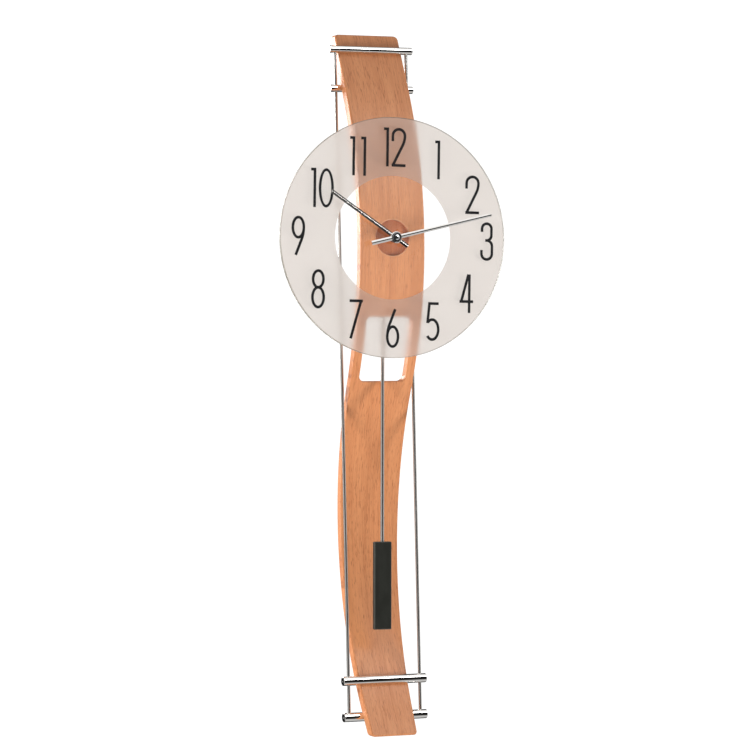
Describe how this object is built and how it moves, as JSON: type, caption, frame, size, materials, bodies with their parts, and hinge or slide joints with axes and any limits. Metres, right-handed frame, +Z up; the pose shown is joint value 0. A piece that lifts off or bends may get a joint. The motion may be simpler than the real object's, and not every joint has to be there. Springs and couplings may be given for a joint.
{
  "type": "pendulum wall clock",
  "caption": "Pendulum wall clock: round part-frosted glass dial on an S-bent beech board with chrome crossbars, steel side rods and a black bar pendulum.",
  "frame": {"origin": "centre of the keyhole's entry circle in the wall hanger, on the wall's surface", "axes": "+Z up, -Y towards the viewer out of the wall, +X to the viewer's right"},
  "size_m": [0.26, 0.1048, 0.7645],
  "materials": {
    "beech": "oiled steam-bent beech, satin",
    "dial_glass": "clear in the middle, frosted in a wide outer ring",
    "black_ink": "printed black enamel",
    "polished_chrome": "polished chrome plate",
    "satin_steel": "satin stainless steel",
    "black_steel": "anthracite lacquer, semi-matt",
    "zinc_steel": "zinc-plated steel",
    "brass_parts": "turned brass",
    "black_plastic": "moulded black plastic, fine texture",
    "gear_plastic": "moulded natural plastic",
    "white_plastic": "moulded white plastic",
    "black_rubber": "soft rubber",
    "magnet_ferrite": "bare ferrite magnet",
    "copper_winding": "enamelled copper wire",
    "circuit_laminate": "green solder mask",
    "battery_wrap": "plain printed sleeve, no marks"
  },
  "bodies": {
    "clock_body": {"board": "beech", "glass_dial": "dial_glass", "hour_numerals": "black_ink", "dial_nut": "polished_chrome", "dial_bush": "black_plastic", "centre_bushing": "brass_parts", "left_rod": "satin_steel", "right_rod": "satin_steel", "top_crossbar": "polished_chrome", "upper_crossbar": "polished_chrome", "lower_crossbar": "polished_chrome", "bottom_crossbar": "polished_chrome", "front_bar_screws": "zinc_steel", "rear_bar_screws": "zinc_steel", "hanger_screws": "zinc_steel", "wall_hanger": "zinc_steel", "wall_bumpers": "black_rubber", "case_screws": "zinc_steel", "cover_screws": "zinc_steel", "plate_screws": "zinc_steel", "movement_case": "black_plastic", "rear_cover": "black_plastic", "bearing_plate": "white_plastic", "stator": "zinc_steel", "motor_core": "zinc_steel", "motor_coil": "copper_winding", "circuit_board": "circuit_laminate", "quartz_crystal": "satin_steel", "battery": "battery_wrap", "battery_contacts": "zinc_steel", "drive_coil": "copper_winding", "lever_pin": "zinc_steel"},
    "minute_arbor": {"cannon_pinion": "brass_parts", "minute_hand": "polished_chrome", "cap_nut": "polished_chrome"},
    "hour_arbor": {"hour_wheel": "brass_parts", "hour_hand": "polished_chrome"},
    "minute_wheel_body": {"minute_wheel": "gear_plastic"},
    "setting_body": {"setting_knob": "black_plastic"},
    "centre_arbor": {"centre_wheel": "gear_plastic"},
    "third_arbor": {"third_wheel": "gear_plastic"},
    "seconds_arbor": {"seconds_wheel": "gear_plastic"},
    "intermediate_arbor": {"intermediate_wheel": "gear_plastic"},
    "rotor_arbor": {"rotor_pinion": "gear_plastic", "rotor_magnet": "magnet_ferrite"},
    "pendulum": {"hanger_lever": "white_plastic", "lever_magnet": "magnet_ferrite", "pendulum_clevis": "satin_steel", "clevis_pin": "zinc_steel", "pendulum_rod": "satin_steel", "pendulum_bob": "black_steel"}
  },
  "joints": [
    {"name": "minute_spin", "type": "hinge", "parent": "clock_body", "child": "minute_arbor", "pos_m": [0, -0.078, -0.206], "axis": [0, 1, 0], "continuous": true},
    {"name": "hour_spin", "type": "hinge", "parent": "clock_body", "child": "hour_arbor", "pos_m": [0, -0.0744, -0.206], "axis": [0, 1, 0], "continuous": true},
    {"name": "minute_wheel_spin", "type": "hinge", "parent": "clock_body", "child": "minute_wheel_body", "pos_m": [0.01103, -0.0724, -0.20794], "axis": [0, 1, 0], "continuous": true},
    {"name": "setting_spin", "type": "hinge", "parent": "clock_body", "child": "setting_body", "pos_m": [0.01733, -0.0724, -0.19703], "axis": [0, 1, 0], "continuous": true},
    {"name": "seconds_spin", "type": "hinge", "parent": "clock_body", "child": "seconds_arbor", "pos_m": [-0.00363, -0.0646, -0.19213], "axis": [0, 1, 0], "continuous": true},
    {"name": "centre_spin", "type": "hinge", "parent": "clock_body", "child": "centre_arbor", "pos_m": [0, -0.0695, -0.206], "axis": [0, 1, 0], "continuous": true},
    {"name": "third_spin", "type": "hinge", "parent": "clock_body", "child": "third_arbor", "pos_m": [0.0051, -0.0671, -0.19717], "axis": [0, 1, 0], "continuous": true},
    {"name": "intermediate_spin", "type": "hinge", "parent": "clock_body", "child": "intermediate_arbor", "pos_m": [-0.01072, -0.0626, -0.19338], "axis": [0, 1, 0], "continuous": true},
    {"name": "rotor_spin", "type": "hinge", "parent": "clock_body", "child": "rotor_arbor", "pos_m": [-0.0173, -0.0601, -0.1958], "axis": [0, 1, 0], "continuous": true},
    {"name": "pendulum_swing", "type": "hinge", "parent": "clock_body", "child": "pendulum", "pos_m": [0, -0.06, -0.244], "axis": [0, 1, 0], "range_deg": [-4.1, 2.9]}
  ],
  "couplings": [
    {"joint": "minute_wheel_spin", "follows": "minute_spin", "ratio": -0.33333},
    {"joint": "hour_spin", "follows": "minute_spin", "ratio": 0.083333},
    {"joint": "setting_spin", "follows": "minute_spin", "ratio": 0.66667},
    {"joint": "centre_spin", "follows": "seconds_spin", "ratio": 0.016667},
    {"joint": "third_spin", "follows": "seconds_spin", "ratio": -0.125},
    {"joint": "intermediate_spin", "follows": "seconds_spin", "ratio": -5},
    {"joint": "rotor_spin", "follows": "seconds_spin", "ratio": 30}
  ]
}
